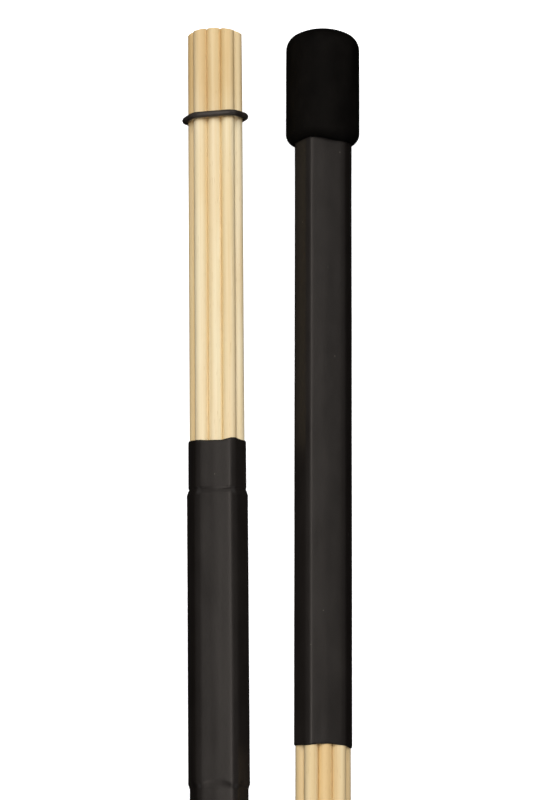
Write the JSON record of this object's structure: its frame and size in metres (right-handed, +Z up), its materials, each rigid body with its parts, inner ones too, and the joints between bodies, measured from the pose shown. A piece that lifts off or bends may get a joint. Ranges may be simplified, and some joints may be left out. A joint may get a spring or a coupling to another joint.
{
  "type": "bundled-dowel drum rods",
  "caption": "Pair of drumming rods: slim wooden dowels bundled in black shrunk sleeves, with a sliding rubber tension ring near the tip and a domed rubber end cap.",
  "frame": {"origin": "on the floor, under the middle of the pair of rods", "axes": "+Z up from the floor; +Y along the rods, towards the left rod's tip and the right rod's cap; +X from the left rod to the right one"},
  "size_m": [0.0462, 0.407, 0.0192],
  "materials": {
    "birch": "bare sanded birch",
    "shrunk_sleeve": "satin black shrink tube",
    "binding_band": "dull black wrap",
    "cap_rubber": "smooth black rubber",
    "ring_rubber": "dark rubber"
  },
  "bodies": {
    "left_rod": {"left_dowel_01": "birch", "left_dowel_02": "birch", "left_dowel_03": "birch", "left_dowel_04": "birch", "left_dowel_05": "birch", "left_dowel_06": "birch", "left_dowel_07": "birch", "left_dowel_08": "birch", "left_dowel_09": "birch", "left_dowel_10": "birch", "left_dowel_11": "birch", "left_dowel_12": "birch", "left_mid_sleeve": "shrunk_sleeve", "left_mid_band": "binding_band", "left_grip_sleeve": "shrunk_sleeve", "left_end_cap": "cap_rubber"},
    "left_ring": {"left_tension_ring": "ring_rubber"},
    "right_rod": {"right_dowel_01": "birch", "right_dowel_02": "birch", "right_dowel_03": "birch", "right_dowel_04": "birch", "right_dowel_05": "birch", "right_dowel_06": "birch", "right_dowel_07": "birch", "right_dowel_08": "birch", "right_dowel_09": "birch", "right_dowel_10": "birch", "right_dowel_11": "birch", "right_dowel_12": "birch", "right_mid_sleeve": "shrunk_sleeve", "right_mid_band": "binding_band", "right_grip_sleeve": "shrunk_sleeve", "right_end_cap": "cap_rubber"},
    "right_ring": {"right_tension_ring": "ring_rubber"}
  },
  "joints": [
    {"name": "left_ring_slide", "type": "slide", "parent": "left_rod", "child": "left_ring", "axis": [0.0054, -1, 0.0027], "range_m": [-0.0205, 0.082]},
    {"name": "right_rod_lift", "type": "slide", "parent": "left_rod", "child": "right_rod", "axis": [0, 0, 1], "range_m": [0, 0.12]},
    {"name": "right_ring_slide", "type": "slide", "parent": "right_rod", "child": "right_ring", "axis": [0.0054, 1, 0.0025], "range_m": [-0.0205, 0.082]}
  ]
}
